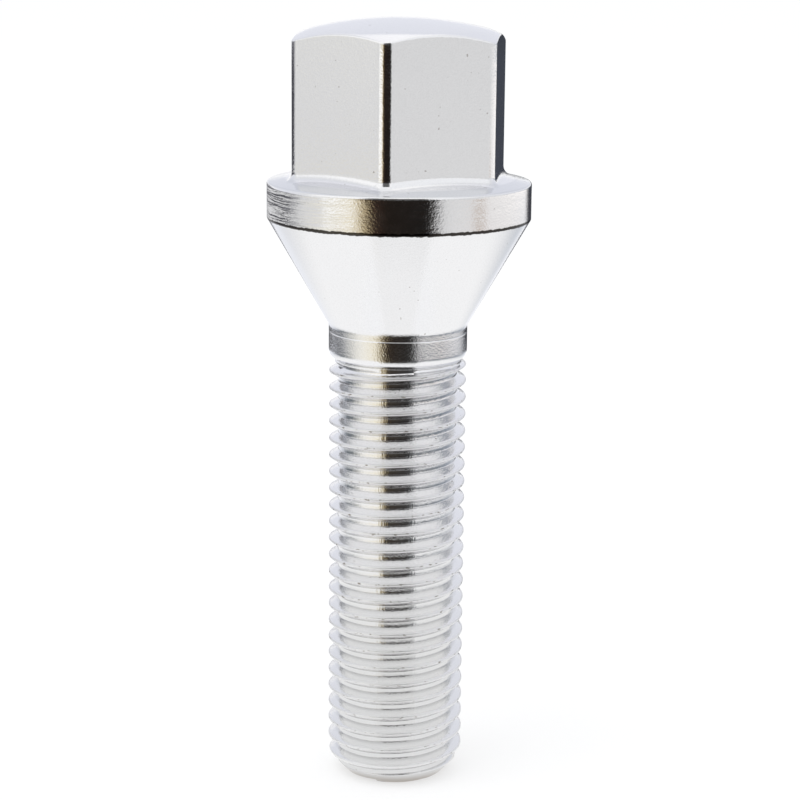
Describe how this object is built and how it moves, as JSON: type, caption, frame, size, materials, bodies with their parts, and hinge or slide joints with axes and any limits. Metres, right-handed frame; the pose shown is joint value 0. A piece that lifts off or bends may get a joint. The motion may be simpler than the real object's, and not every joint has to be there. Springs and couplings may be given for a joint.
{
  "type": "wheel bolt",
  "caption": "Bright-plated steel wheel bolt: domed hexagon head on a round collar, conical seat, short plain neck and a fine-pitch threaded shank with a chamfered flat tip.",
  "frame": {"origin": "centre of the flat tip face, on the bolt's axis", "axes": "+Z along the axis from the threaded tip up to the domed head, with one corner of the hexagon facing -Y"},
  "size_m": [0.0224, 0.0225, 0.0664],
  "materials": {
    "plated_steel": "bright plated, smooth on the flats, with fine turning lines on the collar"
  },
  "bodies": {
    "root": {"wheel_bolt": "plated_steel"}
  },
  "joints": []
}
